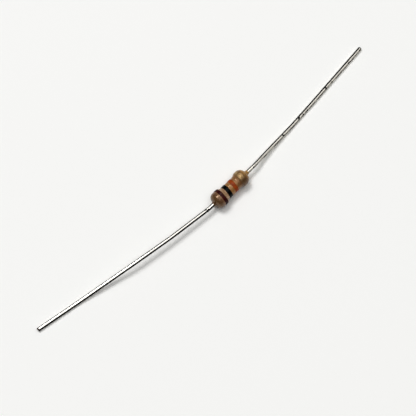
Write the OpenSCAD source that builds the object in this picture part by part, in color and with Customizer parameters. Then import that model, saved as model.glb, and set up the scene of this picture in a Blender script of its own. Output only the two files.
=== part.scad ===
// Axial carbon film resistor of a quarter watt, lying on a flat surface on its body and its two bent leads.
// X runs along the body from the brown end to the gold end, Y points to the side the leads are bent to, and Z
// is up. The origin is on the surface, straight under the middle of the body. All sizes are in millimetres.

/* [Rod and film] */
// Diameter of the ceramic rod
rod_d = 1.6; // [1.2:0.05:1.7]
// Length of the ceramic rod, which the film covers from end to end
rod_length = 5.2; // [4.8:0.1:5.4]
// Thickness of the carbon film, many times the real one, so that its cut can be seen
film_t = 0.03; // [0.02:0.005:0.05]
// Width of the spiral cut that sets the resistance
cut_width = 0.16; // [0.1:0.02:0.24]
// Distance from one turn of the spiral cut to the next
cut_pitch = 0.46; // [0.4:0.02:0.5]
// Number of turns of the spiral cut
cut_turns = 5.25; // [2:0.25:5.5]
// Place of the middle of the spiral cut along the body, from the body's middle
cut_shift = 0.06; // [-0.1:0.02:0.1]

/* [End caps] */
// Thickness of a pressed cap's wall
cap_wall = 0.16; // [0.12:0.01:0.2]
// Thickness of the closed end of a cap
cap_floor = 0.2; // [0.12:0.02:0.26]
// Length of a cap, measured outside
cap_length = 1.15; // [0.9:0.05:1.4]
// Radius on the outer edge of a cap, left by the press
cap_edge_r = 0.14; // [0.05:0.01:0.18]
// Depth of the chamfer that leads the rod into a cap
cap_mouth = 0.05; // [0.02:0.01:0.08]

/* [Lacquer coat] */
// Thickness of the lacquer on the film between the caps
barrel_t = 0.13; // [0.1:0.01:0.2]
// Thickness of the lacquer over the cap at the brown end
bulge_t_left = 0.23; // [0.15:0.01:0.3]
// Thickness of the lacquer over the cap at the gold end
bulge_t_right = 0.16; // [0.12:0.01:0.3]
// Thickness of the lacquer on the flat ends of the caps
end_t = 0.35; // [0.25:0.01:0.5]
// Distance from the brown end's cap to where its bulge starts to fall, towards the middle
fall_offset_left = 0.07; // [-0.2:0.01:0.2]
// Distance from the gold end's cap to where its bulge starts to fall, negative when that is over the cap
fall_offset_right = -0.23; // [-0.3:0.01:0.2]
// Length of the slope from the brown end's bulge down to the barrel
slope_length_left = 0.58; // [0.5:0.01:0.8]
// Length of the slope from the gold end's bulge down to the barrel
slope_length_right = 0.72; // [0.6:0.01:0.8]
// Length of the rounded end of the body
dome_length = 0.9; // [0.7:0.02:1]
// How square the rounded end is: 2 is an ellipse, more is squarer
dome_power = 2.2; // [2:0.1:3]
// Length of the lacquer that creeps along the lead at the brown end
creep_length_left = 0.14; // [0.05:0.01:0.3]
// Length of the lacquer that creeps along the lead at the gold end
creep_length_right = 0.34; // [0.05:0.01:0.5]
// Thickness of the creeping lacquer where it leaves the body
creep_t = 0.14; // [0.08:0.01:0.2]

/* [Colour bands] */
// Thickness of the printed ink
ink_t = 0.025; // [0.02:0.005:0.04]
// Start of the brown band, as a share of the body's length from the brown end
brown_start = 0.184; // [0.17:0.002:0.21]
// Width of the brown band, as a share of the body's length
brown_width = 0.08; // [0.05:0.002:0.09]
// Start of the black band
black_start = 0.354; // [0.34:0.002:0.37]
// Width of the black band
black_width = 0.096; // [0.06:0.002:0.1]
// Start of the orange band
orange_start = 0.538; // [0.51:0.002:0.55]
// Width of the orange band
orange_width = 0.09; // [0.06:0.002:0.1]
// Start of the gold band
gold_start = 0.748; // [0.73:0.002:0.76]
// Width of the gold band
gold_width = 0.138; // [0.1:0.002:0.14]

/* [Leads] */
// Diameter of the tinned wire
lead_d = 0.56; // [0.5:0.01:0.62]
// Diameter of the weld bead that joins a lead to its cap
weld_d = 0.9; // [0.7:0.02:1]
// Length of the weld bead
weld_length = 0.14; // [0.08:0.01:0.2]
// Length of the lead at the brown end, from the body to its tip
lead_length_left = 29; // [26:0.5:32]
// Length of the lead at the gold end
lead_length_right = 25; // [20:0.5:30]
// Corners of the brown end's lead in the air: distance from the body, sideways, rise over the body's axis
left_air = [[0.9, 0, 0], [7.5, 0.71, 0.17], [13.3, 1.56, 0.24]];
// Corners of the same lead on the surface: distance from the body, sideways. The last one is its tip
left_floor = [[22.4, 3.36], [lead_length_left, 4.48]];
// Bend radius at each corner of this lead except its tip
left_radii = [5, 30, 24, 20];
// Corners of the gold end's lead in the air
right_air = [[1.5, 0, 0], [3.3, 0.17, -0.33], [5.6, 0.37, -0.66]];
// Corners of the gold end's lead on the surface, with its tip
right_floor = [[9.8, 0.62], [14, 0.95], [lead_length_right, 1.92]];
// Bend radius at each corner of the gold end's lead except its tip
right_radii = [2.5, 8, 14, 20, 40];
// How much thinner bending has left the wire
bend_thinning = 0.002; // [0.001:0.001:0.01]
// Slant of the sheared tip at the brown end, in degrees
shear_slant = 10; // [0:1:20]
// Radius of the rounded edge at the tip of the gold end's lead
tip_round_r = 0.2; // [0.05:0.01:0.26]

/* [Hidden] */
$fn = 96;

LEFT = -1;
RIGHT = 1;
// A bend reaches this far into the straight runs it joins
bend_lap = 0.03;
// Straight pieces that stand for one curve of the lacquer, and of a cap's edge
curve_steps = 10;
edge_steps = 6;
// Rows of the film's track in one turn, in the whole cut and in the whole track
turn_rows = 36;
cut_rows = round(turn_rows * cut_turns);
track_rows = cut_rows + turn_rows;
// Gap between the rod and the flat facets of the film
rod_gap = 0.0005;

film_d = rod_d + 2 * film_t;
cap_d = film_d + 2 * cap_wall;
barrel_d = film_d + 2 * barrel_t;
bulge_d_left = cap_d + 2 * bulge_t_left;
bulge_d_right = cap_d + 2 * bulge_t_right;
cap_end = rod_length / 2 + cap_floor;
cap_start = cap_end - cap_length;
body_half = cap_end + end_t;
body_length = 2 * body_half;
// The body rests on the ink of its thickest band
axis_height = bulge_d_left / 2 + ink_t;
floor_rise = lead_d / 2 - axis_height;

// Places along the body where a bulge starts to fall and where it has come down to the barrel
left_fall = -cap_start + fall_offset_left;
left_barrel = left_fall + slope_length_left;
right_fall = cap_start - fall_offset_right;
right_barrel = right_fall - slope_length_right;

function dome_radius(share, bulge_r) = bulge_r * pow(1 - pow(1 - share, dome_power), 1 / dome_power);
function fall(share) = (1 - cos(180 * share)) / 2;
function slope_radius(share, bulge_r) = bulge_r + (barrel_d / 2 - bulge_r) * fall(share);
// The first station of a dome is where the creeping lacquer leaves it
creep_r = lead_d / 2 + creep_t;
function dome_start(bulge_r) = 1 - pow(1 - pow(creep_r / bulge_r, dome_power), 1 / dome_power);
function dome_stations(side, bulge_r) = [
    for (i = [0:curve_steps])
        let (from = dome_start(bulge_r), share = from + (1 - from) * fall(i / curve_steps))
            [side * (body_half - dome_length * share), dome_radius(share, bulge_r)]
];
function slope_stations(from, to, bulge_r) = [
    for (i = [0:curve_steps])
        [from + (to - from) * i / curve_steps, slope_radius(i / curve_steps, bulge_r)]
];
function backwards(list) = [for (i = [len(list) - 1:-1:0]) list[i]];
coat_stations = concat(
    dome_stations(LEFT, bulge_d_left / 2),
    slope_stations(left_fall, left_barrel, bulge_d_left / 2),
    backwards(slope_stations(right_fall, right_barrel, bulge_d_right / 2)),
    backwards(dome_stations(RIGHT, bulge_d_right / 2))
);
function coat_radius(x) = lookup(x, coat_stations);

// Turns a profile of [radius, x] points round the body's axis
module turned(profile) {
    translate([0, 0, axis_height])
        rotate([0, 90, 0])
            rotate_extrude()
                polygon(profile);
}

// A bar round the body's axis from one x to another
module bar(from, to, d) {
    translate([from, 0, axis_height])
        rotate([0, 90, 0])
            cylinder(h = to - from, d = d);
}

// Ceramic former
module ceramic_rod() {
    color("#E9E6DC")
        bar(-rod_length / 2, rod_length / 2, rod_d);
}

// The film's track winds round the rod row by row. It starts at the brown end, its high side is one wall of
// the cut until the cut ends, and its low side is the other wall from one turn later.
function cut_x(row) = cut_shift + cut_pitch * (row - cut_rows / 2) / turn_rows;
function track_x(row, high) = high
    ? (row > cut_rows ? rod_length / 2 : cut_x(row) - cut_width / 2)
    : (row < turn_rows ? -rod_length / 2 : cut_x(row - turn_rows) + cut_width / 2);
// Number of a corner of the track in the list of points, by its row, 0 for low or 1 for high, and 0 for
// outside or 1 for inside
function corner(place, inside) = 4 * place[0] + 2 * inside + place[1];
// Corners of a row in order along the body, where the track widens to take in an end of the cut
function row_before(row) = row == cut_rows
    ? [[row, 0], [row, 1], [track_rows, 0], [track_rows, 1]]
    : [[row, 0], [row, 1]];
function row_after(row) = row == turn_rows
    ? [[0, 0], [0, 1], [row, 0], [row, 1]]
    : [[row, 0], [row, 1]];
function flipped(triangle) = [triangle[2], triangle[1], triangle[0]];

// Skin of the track between two rows, on its outside or its inside
function skin(row, inside) = let (
    a = row_before(row),
    b = row_after(row + 1),
    near = [for (i = [0:len(b) - 2]) [a[0], b[i], b[i + 1]]],
    far = [for (i = [0:len(a) - 2]) [a[i + 1], a[i], b[len(b) - 1]]]
) [
    for (t = concat(near, far))
        let (numbers = [for (place = t) corner(place, inside)])
            inside == 1 ? numbers : flipped(numbers)
];

// Wall from the outside to the inside of the track along one edge
function wall(from, to) = [
    [corner(to, 0), corner(to, 1), corner(from, 1)],
    [corner(to, 0), corner(from, 1), corner(from, 0)]
];

// Carbon film: a tube on the rod, cut into a spiral track between two plain ends
module carbon_film() {
    inner_r = rod_d / 2 / cos(180 / turn_rows) + rod_gap;
    points = [
        for (row = [0:track_rows], r = [film_d / 2, inner_r], high = [0, 1])
            let (angle = 360 * row / turn_rows)
                [track_x(row, high == 1), r * cos(angle), r * sin(angle)]
    ];
    low_edges = concat(
        [for (row = [0:track_rows - 1]) if (row != turn_rows - 1) [[row, 0], [row + 1, 0]]],
        [[[turn_rows - 1, 0], [0, 0]]]
    );
    high_edges = concat(
        [for (row = [0:track_rows - 1]) if (row != cut_rows) [[row + 1, 1], [row, 1]]],
        [[[cut_rows + 1, 1], [track_rows, 1]]]
    );
    cut_ends = [[[0, 1], [turn_rows, 0]], [[track_rows, 0], [cut_rows, 1]]];
    faces = concat(
        [for (row = [0:track_rows - 1], inside = [0, 1]) each skin(row, inside)],
        [for (edge = concat(low_edges, high_edges, cut_ends)) each wall(edge[0], edge[1])]
    );
    color("#2B2A2C")
        translate([0, 0, axis_height])
            polyhedron(points = points, faces = faces);
}

// Pressed steel cap, given the side it is on
module end_cap(side) {
    mouth = side * cap_start;
    edge = [
        for (i = [0:edge_steps])
            let (angle = 90 * i / edge_steps)
                [
                    cap_d / 2 - cap_edge_r * (1 - cos(angle)),
                    side * (cap_end - cap_edge_r * (1 - sin(angle)))
                ]
    ];
    profile = concat(
        [
            [0, side * rod_length / 2],
            [film_d / 2, side * rod_length / 2],
            [film_d / 2, mouth + side * cap_mouth],
            [film_d / 2 + cap_mouth, mouth],
            [cap_d / 2, mouth]
        ],
        edge,
        [[0, side * cap_end]]
    );
    color("#C9C6BF")
        turned(profile);
}

module end_cap_left() {
    end_cap(LEFT);
}

module end_cap_right() {
    end_cap(RIGHT);
}

// Points of a lead's centreline from its cap to its tip
function lead_points(side, air, floor_corners) = concat(
    [[side * cap_end, 0, axis_height]],
    [for (p = air) [side * (body_half + p[0]), p[1], axis_height + p[2]]],
    [for (p = floor_corners) [side * (body_half + p[0]), p[1], axis_height + floor_rise]]
);

// The way to the next point, seen in a frame of three axes
function seen(direction, frame) = [for (axis = frame) direction * axis];
function heading(points, i) = (points[i + 1] - points[i]) / norm(points[i + 1] - points[i]);
function turn_of(way) = atan2(norm([way[0], way[1]]), way[2]);
function rolled(frame, roll) = [
    frame[0] * cos(roll) + frame[1] * sin(roll),
    frame[1] * cos(roll) - frame[0] * sin(roll),
    frame[2]
];
function bent(frame, turn) = [
    frame[0] * cos(turn) - frame[2] * sin(turn),
    frame[1],
    frame[2] * cos(turn) + frame[0] * sin(turn)
];

// A bend of the wire from the origin, off along Z and round towards X. It laps into both straight runs
module bend(radius, turn) {
    lap = bend_lap / radius * 180 / PI;
    translate([radius, 0, 0])
        rotate([0, -lap, 0])
            rotate([90, 0, 180])
                rotate_extrude(angle = turn + 2 * lap)
                    translate([radius, 0])
                        circle(d = lead_d - bend_thinning);
}

// Last straight run with a tip sheared at a slant
module sheared_run(length) {
    difference() {
        cylinder(h = length, d = lead_d);
        translate([0, 0, length])
            rotate([shear_slant, 0, 0])
                translate([-lead_d, -lead_d, 0])
                    cube(2 * lead_d);
    }
}

// Last straight run with a tip rounded by solder
module rounded_run(length) {
    arc = [
        for (i = [0:edge_steps])
            let (angle = 90 * i / edge_steps)
                [lead_d / 2 - tip_round_r * (1 - cos(angle)), length - tip_round_r * (1 - sin(angle))]
    ];
    rotate_extrude()
        polygon(concat([[0, 0], [lead_d / 2, 0]], arc, [[0, length]]));
}

// First straight run of a lead, with the bead that welds it to the cap
module welded_run(length) {
    rotate_extrude()
        polygon([[0, 0], [weld_d / 2, 0], [lead_d / 2, weld_length], [lead_d / 2, length], [0, length]]);
}

// Walks the wire: a straight run, a bend, and then the rest of the wire from there
module walk(points, radii, frame, i, used) {
    reach = norm(points[i + 1] - points[i]) - used;
    last_run = len(radii);
    if (i == last_run) {
        if (points[0][0] < 0) {
            sheared_run(reach);
        } else {
            rounded_run(reach);
        }
    } else {
        way = seen(heading(points, i + 1), frame);
        turn = turn_of(way);
        roll = atan2(way[1], way[0]);
        taken = radii[i] * tan(turn / 2);
        if (i == 0) {
            welded_run(reach - taken);
        } else {
            cylinder(h = reach - taken, d = lead_d);
        }
        translate([0, 0, reach - taken])
            rotate([0, 0, roll]) {
                bend(radii[i], turn);
                translate([radii[i], 0, 0])
                    rotate([0, turn, 0])
                        translate([-radii[i], 0, 0])
                            walk(points, radii, bent(rolled(frame, roll), turn), i + 1, taken);
            }
    }
}

module lead(side, air, floor_corners, radii) {
    frame = [[0, 0, -side], [0, 1, 0], [side, 0, 0]];
    color("#BDBAB2")
        translate([side * cap_end, 0, axis_height])
            rotate([0, 90 * side, 0])
                walk(lead_points(side, air, floor_corners), radii, frame, 0, 0);
}

module lead_left() {
    lead(LEFT, left_air, left_floor, left_radii);
}

module lead_right() {
    lead(RIGHT, right_air, right_floor, right_radii);
}

// Dipped lacquer: one turned form, with all that is inside it taken out
module coat_form() {
    left_tail = coat_stations[0][0] - creep_length_left;
    right_tail = coat_stations[len(coat_stations) - 1][0] + creep_length_right;
    profile = concat(
        [[0, left_tail], [lead_d / 2 + ink_t, left_tail]],
        [for (station = coat_stations) [station[1], station[0]]],
        [[lead_d / 2 + ink_t, right_tail], [0, right_tail]]
    );
    turned(profile);
}

// What a lead fills inside the lacquer
module lead_root(side) {
    translate([side * cap_end, 0, axis_height])
        rotate([0, 90 * side, 0])
            welded_run(body_length);
}

module lacquer_coat() {
    color("#B08A63")
        difference() {
            coat_form();
            bar(-rod_length / 2, rod_length / 2, film_d);
            end_cap_left();
            end_cap_right();
            lead_root(LEFT);
            lead_root(RIGHT);
        }
}

// Ring of ink that follows the lacquer, given its start and width as shares of the body's length
module ink_ring(start, width) {
    from = body_length * start - body_half;
    to = from + body_length * width;
    under = concat(
        [[coat_radius(from), from]],
        [for (station = coat_stations) if (station[0] > from && station[0] < to) [station[1], station[0]]],
        [[coat_radius(to), to]]
    );
    turned(concat(under, [for (p = backwards(under)) [p[0] + ink_t, p[1]]]));
}

module band_first_brown() {
    color("#3A0F0C")
        ink_ring(brown_start, brown_width);
}

module band_second_black() {
    color("#0B0B0D")
        ink_ring(black_start, black_width);
}

module band_multiplier_orange() {
    color("#B5501E")
        ink_ring(orange_start, orange_width);
}

module band_tolerance_gold() {
    color("#A88B4A")
        ink_ring(gold_start, gold_width);
}

ceramic_rod();
carbon_film();
end_cap_left();
end_cap_right();
lead_left();
lead_right();
lacquer_coat();
band_first_brown();
band_second_black();
band_multiplier_orange();
band_tolerance_gold();
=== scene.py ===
import math

import bpy
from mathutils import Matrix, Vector


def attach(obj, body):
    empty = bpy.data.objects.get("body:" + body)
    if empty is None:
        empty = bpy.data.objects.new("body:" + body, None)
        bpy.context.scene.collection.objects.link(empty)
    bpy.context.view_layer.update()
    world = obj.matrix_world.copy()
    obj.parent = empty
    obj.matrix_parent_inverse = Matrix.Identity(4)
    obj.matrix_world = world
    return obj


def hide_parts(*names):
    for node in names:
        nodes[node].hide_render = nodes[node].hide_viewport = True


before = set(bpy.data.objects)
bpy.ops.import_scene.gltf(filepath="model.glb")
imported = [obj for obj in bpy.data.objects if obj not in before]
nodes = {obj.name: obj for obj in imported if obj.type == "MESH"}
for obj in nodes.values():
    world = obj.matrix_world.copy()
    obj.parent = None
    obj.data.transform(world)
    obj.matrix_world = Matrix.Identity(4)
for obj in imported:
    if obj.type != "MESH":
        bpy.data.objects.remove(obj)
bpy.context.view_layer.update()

# Ceramic rod
# A plain bar of alumina ceramic, extruded, fired and tumbled. It carries the film, the caps are pressed
# on its ends, and all the rest is built on it.
MM = 0.001  # the part is drawn in millimetres and the frame is in metres
# Sockets of the node that mixes two colours
SHARE = 0
FIRST = 6
SECOND = 7
MIXED = 2


def linear(hex_colour):
    """An sRGB colour such as "#E9E6DC" as the linear colour that a shader takes."""
    shares = [int(hex_colour[i:i + 2], 16) / 255 for i in (1, 3, 5)]
    return [s / 12.92 if s <= 0.04045 else ((s + 0.055) / 1.055) ** 2.4 for s in shares] + [1]


def add(tree, kind, inputs=(), **settings):
    """Adds a node with its settings. Each of its inputs that is given takes a constant or a link."""
    node = tree.nodes.new(kind)
    for name, value in settings.items():
        setattr(node, name, value)
    for key, value in dict(inputs).items():
        if isinstance(value, bpy.types.NodeSocket):
            tree.links.new(value, node.inputs[key])
        else:
            node.inputs[key].default_value = value
    return node


def finish(name, sockets):
    """A new material, its tree, its shader with those constants, and the piece's own coordinates."""
    material = bpy.data.materials.new(name)
    material.use_nodes = True
    tree = material.node_tree
    shader = tree.nodes["Principled BSDF"]
    for socket, value in sockets.items():
        shader.inputs[socket].default_value = value
    return material, tree, shader, add(tree, "ShaderNodeTexCoord").outputs["Object"]


# Fired alumina: dull, off-white, with a grain of a tenth of a millimetre that only a close view shows
CERAMIC_GRAIN = 0.1 * MM
ceramic, tree, shader, place = finish("Fired alumina ceramic", {"Roughness": 0.62, "IOR": 1.76})
grain = add(tree, "ShaderNodeTexNoise", {"Vector": place, "Scale": 1 / CERAMIC_GRAIN, "Detail": 3})
shade = add(tree, "ShaderNodeMix", {
    SHARE: grain.outputs["Fac"], FIRST: linear("#DEDACF"), SECOND: linear("#F1EEE6"),
}, data_type="RGBA")
bumps = add(tree, "ShaderNodeBump", {
    "Strength": 0.3, "Distance": 0.004 * MM, "Height": grain.outputs["Fac"],
})
tree.links.new(shade.outputs[MIXED], shader.inputs["Base Color"])
tree.links.new(bumps.outputs["Normal"], shader.inputs["Normal"])
nodes["ceramic_rod"].data.materials[0] = ceramic

# Carbon film
# Pyrolytic carbon, grown on the hot rod from gas and then cut into a spiral track, which sets the
# resistance. It is dark grey and has a dull shine.
CARBON_GRAIN = 0.15 * MM
carbon, tree, shader, place = finish("Pyrolytic carbon film", {"Metallic": 0.3})
grain = add(tree, "ShaderNodeTexNoise", {"Vector": place, "Scale": 1 / CARBON_GRAIN, "Detail": 4})
shade = add(tree, "ShaderNodeMix", {
    SHARE: grain.outputs["Fac"], FIRST: linear("#232224"), SECOND: linear("#3A393C"),
}, data_type="RGBA")
gloss = add(tree, "ShaderNodeMapRange", {"Value": grain.outputs["Fac"], "To Min": 0.3, "To Max": 0.55})
tree.links.new(shade.outputs[MIXED], shader.inputs["Base Color"])
tree.links.new(gloss.outputs["Result"], shader.inputs["Roughness"])
nodes["carbon_film"].data.materials[0] = carbon

# End caps
# Cups pressed from thin steel sheet and plated with tin. They grip the ends of the rod, touch the film, and
# have the leads welded to them. Under the lacquer they are still bright, with press marks along the wall.
PRESS_MARK = 0.03 * MM
cap_steel, tree, shader, place = finish("Tin-plated pressed steel", {
    "Base Color": linear("#C9C6BF"), "Metallic": 1,
})
stretched = add(tree, "ShaderNodeMapping", {"Vector": place, "Scale": (0.08, 1, 1)})
press_marks = add(tree, "ShaderNodeTexNoise", {
    "Vector": stretched.outputs["Vector"], "Scale": 1 / PRESS_MARK, "Detail": 2,
})
gloss = add(tree, "ShaderNodeMapRange", {
    "Value": press_marks.outputs["Fac"], "To Min": 0.22, "To Max": 0.4,
})
bumps = add(tree, "ShaderNodeBump", {
    "Strength": 0.25, "Distance": 0.002 * MM, "Height": press_marks.outputs["Fac"],
})
tree.links.new(gloss.outputs["Result"], shader.inputs["Roughness"])
tree.links.new(bumps.outputs["Normal"], shader.inputs["Normal"])
for side in ("left", "right"):
    nodes["end_cap_" + side].data.materials[0] = cap_steel

# Leads
# Copper-clad steel wire, drawn, tinned and cut, butt welded to the caps with a small bead, and bent since.
# The one at the brown end is still smooth and bright, with a sheared tip. The one at the gold end has been
# in solder: it is dull and lumpy, with nicks darkened by painted shade and a rounded, darkened tip.
WIRE_RADIUS = 0.28
BEAD_RADIUS = 0.45
BEAD_LENGTH = 0.14
CAP_END = 2.8
BODY_HALF = 3.15
AXIS_HEIGHT = 1.245
SHEAR_SLANT = math.radians(10)
# Corners in the air: distance from the body, sideways, rise over the axis. Those on the surface have no
# rise, and each corner has the radius of its bend
LEAD_ROUTES = {
    "lead_left": dict(
        side=-1,
        air=[(0.9, 0, 0), (7.5, 0.71, 0.17), (13.3, 1.56, 0.24)],
        surface=[(22.4, 3.36), (29, 4.48)],
        bends=[5, 30, 24, 20],
    ),
    "lead_right": dict(
        side=1,
        air=[(1.5, 0, 0), (3.3, 0.17, -0.33), (5.6, 0.37, -0.66)],
        surface=[(9.8, 0.62), (14, 0.95), (25, 1.92)],
        bends=[2.5, 8, 14, 20, 40],
    ),
}
# Nicks, each at its distance along the wire from the cap and its distance round the wire from the top
NICKS = {
    "lead_left": [(1.8, 0.1), (1.7, 0.03), (1.6, -0.05), (1.45, -0.1)],
    "lead_right": [
        (1.65, -0.26), (2.7, 0.16), (2.85, 0.22), (8.15, -0.13), (8.25, -0.22), (11.2, 0.16), (11.85, 0.12),
        (11.75, 0.02), (11.65, -0.08), (11.55, -0.17), (12.45, -0.23), (13, -0.3), (13.3, -0.28),
        (15.2, 0.13), (17.55, -0.12), (17.5, -0.22), (17.6, 0.15), (18, 0.13), (18.8, -0.27),
        (22.5, -0.25), (22.7, -0.3), (25.05, -0.25),
    ],
}
SMOOTH_ANGLE = math.radians(40)  # an edge that turns by more than this stays sharp


def new_form(name, sizes, results):
    """A Geometry Nodes tree that takes a geometry and named sizes, with the outputs of its input node."""
    tree = bpy.data.node_groups.new(name, "GeometryNodeTree")
    tree.interface.new_socket("Geometry", in_out="INPUT", socket_type="NodeSocketGeometry")
    for label, kind in sizes.items():
        tree.interface.new_socket(label, in_out="INPUT", socket_type="NodeSocket" + kind)
    for label, kind in results.items():
        tree.interface.new_socket(label, in_out="OUTPUT", socket_type="NodeSocket" + kind)
    return tree, add(tree, "NodeGroupInput").outputs


def end_form(tree, geometry, material):
    """Ends a tree with what it has made, as real mesh in its material."""
    single = add(tree, "GeometryNodeRealizeInstances", {"Geometry": geometry})
    coloured = add(tree, "GeometryNodeSetMaterial", {
        "Geometry": single.outputs["Geometry"], "Material": material,
    })
    add(tree, "NodeGroupOutput", {"Geometry": coloured.outputs["Geometry"]})


def hollows(tree, seed, size, depth, detail):
    """How deep the uneven skin lies at each point, by noise of a given size and depth."""
    position = add(tree, "GeometryNodeInputPosition").outputs["Position"]
    scale = add(tree, "ShaderNodeMath", {0: 1, 1: size}, operation="DIVIDE")
    noise = add(tree, "ShaderNodeTexNoise", {
        "Vector": position, "W": seed, "Scale": scale.outputs[0], "Detail": detail,
    }, noise_dimensions="4D")
    return add(tree, "ShaderNodeMath", {0: noise.outputs["Fac"], 1: depth}, operation="MULTIPLY").outputs[0]


def sunk(tree, geometry, depth):
    """The geometry with each point moved straight inward by a depth."""
    normal = add(tree, "GeometryNodeInputNormal").outputs["Normal"]
    outward = add(tree, "ShaderNodeMath", {0: depth, 1: -1}, operation="MULTIPLY")
    inset = add(tree, "ShaderNodeVectorMath", {0: normal, "Scale": outward.outputs[0]}, operation="SCALE")
    moved = add(tree, "GeometryNodeSetPosition", {"Geometry": geometry, "Offset": inset.outputs[0]})
    return moved.outputs["Geometry"]


def drawn_line(points, weights):
    """A curve object of straight runs through points in millimetres, with their weights as its radii."""
    curve = bpy.data.curves.new("drawn line", "CURVE")
    curve.dimensions = "3D"
    spline = curve.splines.new("POLY")
    spline.points.add(len(points) - 1)
    for corner, point, weight in zip(spline.points, points, weights):
        corner.co = [c * MM for c in point] + [1]
        corner.radius = weight
    line = bpy.data.objects.new("drawn line", curve)
    bpy.context.scene.collection.objects.link(line)
    return line


def formed(name, tree, host, sizes):
    """The plain mesh that a tree makes of its host, as a new object with that name. The host is used up."""
    sockets = {s.name: s.identifier for s in tree.interface.items_tree if s.in_out == "INPUT"}
    modifier = host.modifiers.new("form", "NODES")
    modifier.node_group = tree
    for label, value in sizes.items():
        modifier[sockets[label]] = value
    depsgraph = bpy.context.evaluated_depsgraph_get()
    mesh = bpy.data.meshes.new_from_object(host.evaluated_get(depsgraph), depsgraph=depsgraph)
    host.modifiers.remove(modifier)
    bpy.data.objects.remove(host)
    mesh.shade_smooth()
    mesh.set_sharp_from_angle(angle=SMOOTH_ANGLE)
    piece = bpy.data.objects.new(name, mesh)
    bpy.context.scene.collection.objects.link(piece)
    return piece


def put_in_place(piece, node):
    """Fixes a finished piece to the part's body, in place of a node."""
    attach(piece, "root")
    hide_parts(node)


# The wire's tree rounds the corners, sweeps a circle along them, swells it at the weld bead and rounds it
# at the tip. Then it trims the tip on the plane of the shears, and sinks hollows and nicks into the skin
wire, sizes = new_form("Bent wire", {
    "Wire radius": "Float", "Bead radius": "Float", "Bead length": "Float", "Tip rounding": "Float",
    "Tip": "Vector", "Wire way": "Vector", "Shear way": "Vector", "Step": "Float", "Sides": "Int",
    "Lump height": "Float", "Lump size": "Float", "Seed": "Float",
    "Nicks": "Object", "Nick reach": "Float", "Nick depth": "Float", "Material": "Material",
}, {"Geometry": "Geometry"})
bend_radius = add(wire, "GeometryNodeInputRadius")
rounded = add(wire, "GeometryNodeFilletCurve", {
    "Curve": sizes["Geometry"], "Count": 32, "Radius": bend_radius.outputs["Radius"],
}, mode="POLY")
stepped = add(wire, "GeometryNodeResampleCurve", {
    "Curve": rounded.outputs["Curve"], "Length": sizes["Step"],
}, mode="LENGTH")
along = add(wire, "GeometryNodeSplineParameter").outputs["Length"]
whole = add(wire, "GeometryNodeSplineLength").outputs["Length"]
past_bead = add(wire, "ShaderNodeMapRange", {
    "Value": along, "From Max": sizes["Bead length"],
    "To Min": sizes["Bead radius"], "To Max": sizes["Wire radius"],
})
# Radius near the tip: a quarter of a circle on the flat end that is left inside it
to_tip = add(wire, "ShaderNodeMath", {0: whole, 1: along}, operation="SUBTRACT")
share = add(wire, "ShaderNodeMath", {
    0: to_tip.outputs[0], 1: sizes["Tip rounding"],
}, operation="DIVIDE", use_clamp=True)
rest = add(wire, "ShaderNodeMath", {0: 2, 1: share.outputs[0]}, operation="SUBTRACT")
square = add(wire, "ShaderNodeMath", {0: share.outputs[0], 1: rest.outputs[0]}, operation="MULTIPLY")
arc = add(wire, "ShaderNodeMath", {0: square.outputs[0]}, operation="SQRT")
flat = add(wire, "ShaderNodeMath", {
    0: past_bead.outputs[0], 1: sizes["Tip rounding"],
}, operation="SUBTRACT")
radius = add(wire, "ShaderNodeMath", {
    0: arc.outputs[0], 1: sizes["Tip rounding"], 2: flat.outputs[0],
}, operation="MULTIPLY_ADD")
measured = add(wire, "GeometryNodeStoreNamedAttribute", {
    "Geometry": stepped.outputs["Curve"], "Name": "along", "Value": along,
}, data_type="FLOAT", domain="POINT")
circle = add(wire, "GeometryNodeCurvePrimitiveCircle", {
    "Resolution": sizes["Sides"], "Radius": 1,
}, mode="RADIUS")
swept = add(wire, "GeometryNodeCurveToMesh", {
    "Curve": measured.outputs["Geometry"], "Profile Curve": circle.outputs["Curve"],
    "Scale": radius.outputs[0], "Fill Caps": True,
})
# What is beyond the plane of the shears goes back to it along the wire
position = add(wire, "GeometryNodeInputPosition").outputs["Position"]
from_tip = add(wire, "ShaderNodeVectorMath", {0: position, 1: sizes["Tip"]}, operation="SUBTRACT")
over = add(wire, "ShaderNodeVectorMath", {
    0: from_tip.outputs[0], 1: sizes["Shear way"],
}, operation="DOT_PRODUCT")
slant = add(wire, "ShaderNodeVectorMath", {
    0: sizes["Wire way"], 1: sizes["Shear way"],
}, operation="DOT_PRODUCT")
excess = add(wire, "ShaderNodeMath", {
    0: over.outputs["Value"], 1: slant.outputs["Value"],
}, operation="DIVIDE")
beyond = add(wire, "ShaderNodeMath", {0: excess.outputs[0], 1: 0}, operation="MAXIMUM")
back = add(wire, "ShaderNodeMath", {0: beyond.outputs[0], 1: -1}, operation="MULTIPLY")
trim = add(wire, "ShaderNodeVectorMath", {
    0: sizes["Wire way"], "Scale": back.outputs[0],
}, operation="SCALE")
sheared = add(wire, "GeometryNodeSetPosition", {
    "Geometry": swept.outputs["Mesh"], "Offset": trim.outputs[0],
})
closed = add(wire, "GeometryNodeMergeByDistance", {
    "Geometry": sheared.outputs["Geometry"], "Distance": 0.001 * MM,
})
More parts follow.
